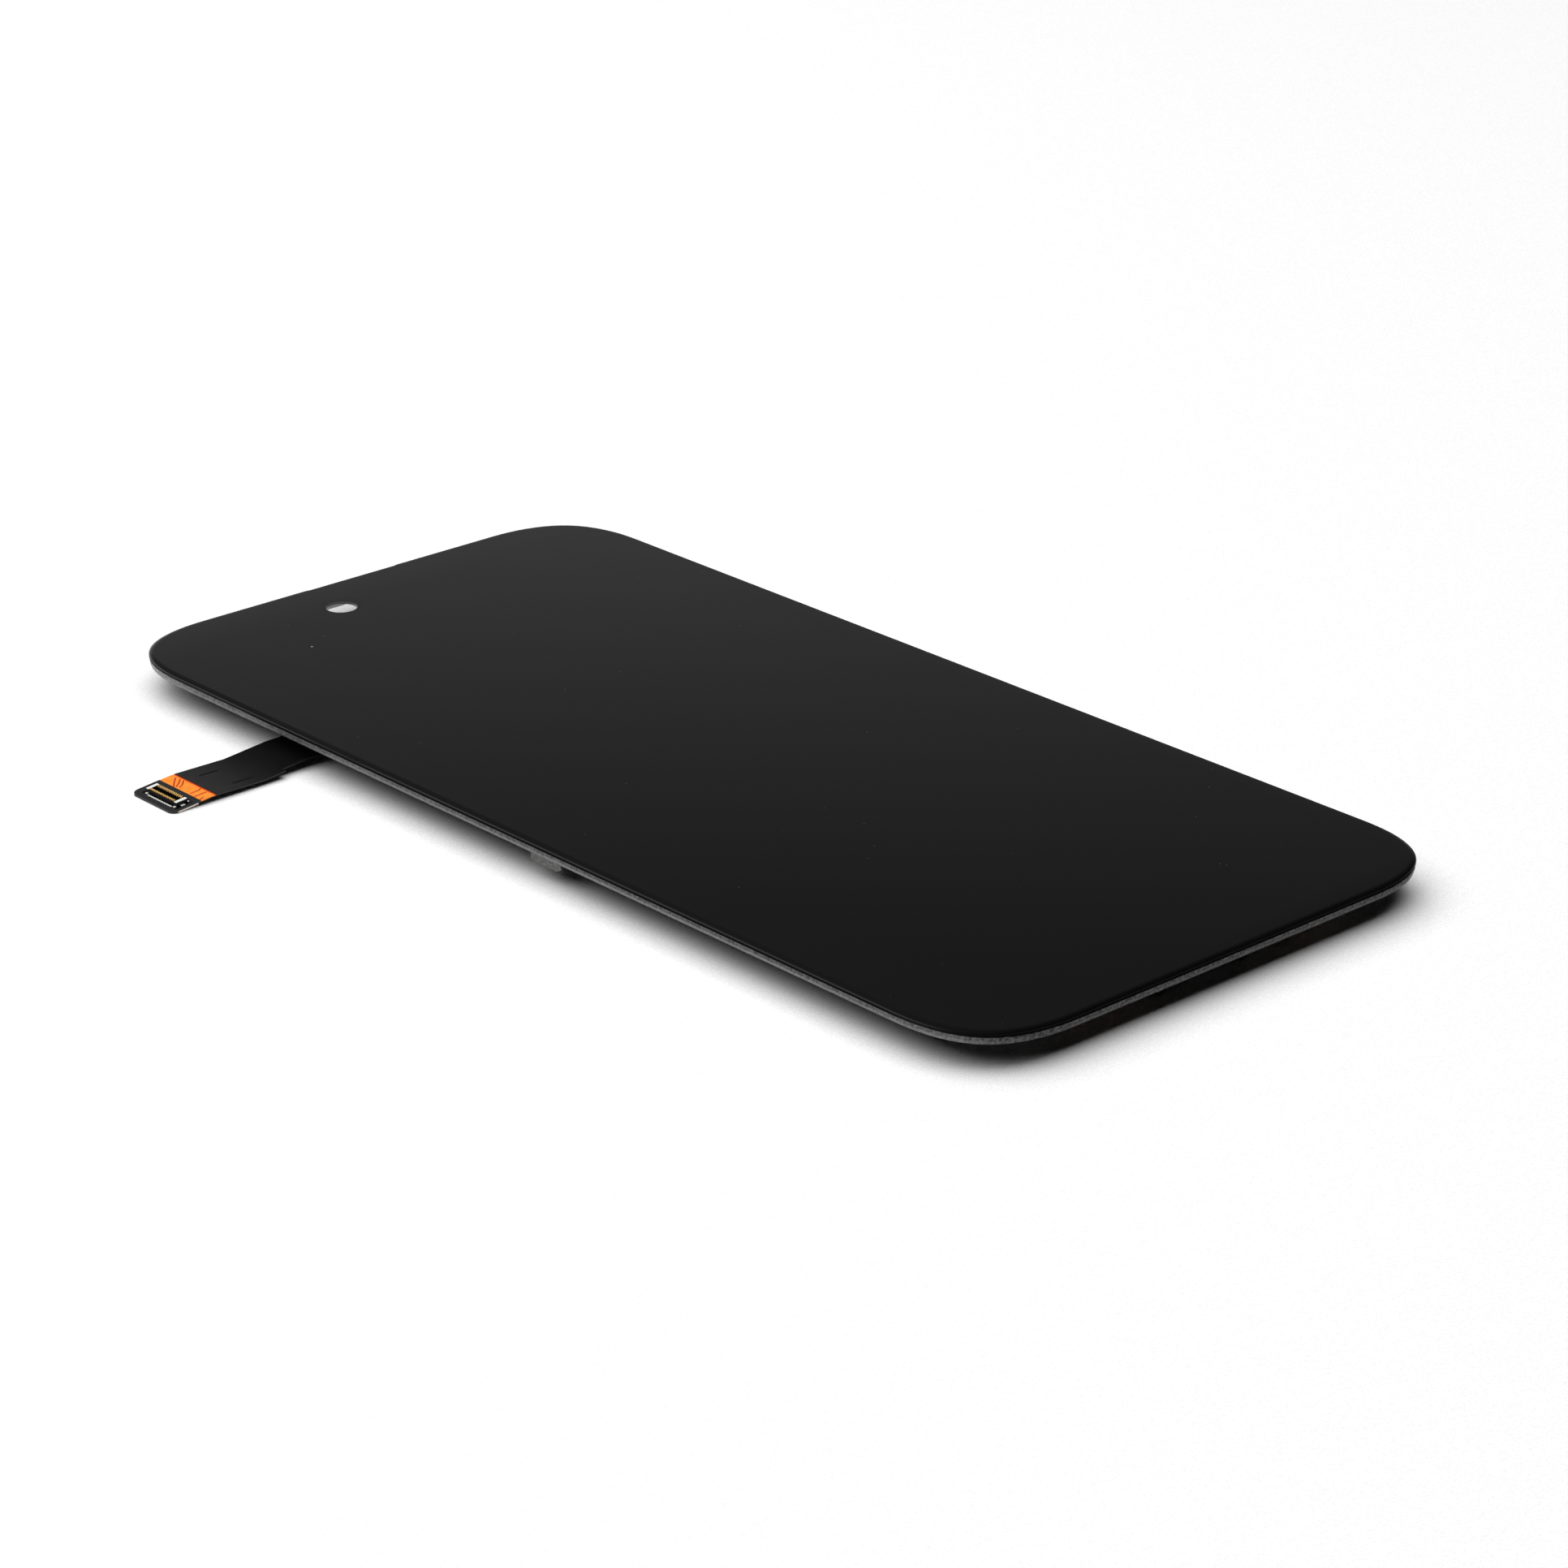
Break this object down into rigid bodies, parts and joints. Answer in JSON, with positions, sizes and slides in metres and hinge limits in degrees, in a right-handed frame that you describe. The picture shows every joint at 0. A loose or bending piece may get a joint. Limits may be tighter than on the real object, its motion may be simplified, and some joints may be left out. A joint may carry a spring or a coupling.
{
  "type": "phone screen assembly",
  "caption": "Flat phone screen module: rounded cover glass over a laminated panel, slim bezel frame with clips and screw lugs, camera hole, and a bent flex tail with a board connector.",
  "frame": {"origin": "centre of the cover glass's flat outer face, the face a user looks at", "axes": "+Z out of the screen, +Y towards the camera and earpiece end, +X to the right as seen from the front"},
  "size_m": [0.0878, 0.1452, 0.0045],
  "materials": {
    "cover_glass": "polished, seen black over the dark screen",
    "black_tape": "black double sided tape",
    "optical_adhesive": "clear cured adhesive over the dark screen",
    "polarizer_film": "smooth dark film",
    "panel_film": "thin amber brown film with dark coating",
    "bare_silicon": "bare chip",
    "black_foam": "fine closed cell foam",
    "copper_foil": "thin copper foil",
    "steel_sheet": "rolled stainless sheet",
    "frame_plastic": "satin dark grey moulded frame",
    "sensor_ink": "dark sensor window film",
    "flex_film": "orange polyimide with copper tracks",
    "black_cover_film": "matt black cover film",
    "black_moulding": "black moulded plastic",
    "gold_plate": "gold plated contacts",
    "tin_plate": "bright tin plated metal",
    "chip_package": "moulded chip package",
    "can_metal": "nickel silver can",
    "ceramic": "ceramic chip with tin ends",
    "conductive_fabric": "woven conductive fabric over foam",
    "clip_steel": "darkened spring steel",
    "insert_brass": "turned insert"
  },
  "bodies": {
    "root": {"cover_glass": "cover_glass", "bezel_tape": "black_tape", "bond_adhesive": "optical_adhesive", "polarizer": "polarizer_film", "display_panel": "panel_film", "driver_chip": "bare_silicon", "cushion_foam": "black_foam", "heat_spreader": "copper_foil", "back_plate": "steel_sheet", "bezel_frame": "frame_plastic", "camera_gasket": "black_foam", "sensor_film": "sensor_ink", "main_flex": "flex_film", "tail_cover_film": "black_cover_film", "tip_cover_film": "black_cover_film", "tail_under_film": "black_cover_film", "stiffener": "steel_sheet", "connector_housing": "black_moulding", "connector_contacts": "gold_plate", "connector_end_clips": "tin_plate", "board_adhesive": "black_tape", "touch_chip": "chip_package", "power_chip": "chip_package", "memory_chip": "chip_package", "shield_can": "can_metal", "capacitors": "ceramic", "inductors": "chip_package", "ground_pads": "conductive_fabric", "side_clips": "clip_steel", "top_hooks": "clip_steel", "lug_bracket": "black_moulding", "screw_inserts": "insert_brass"}
  },
  "joints": []
}
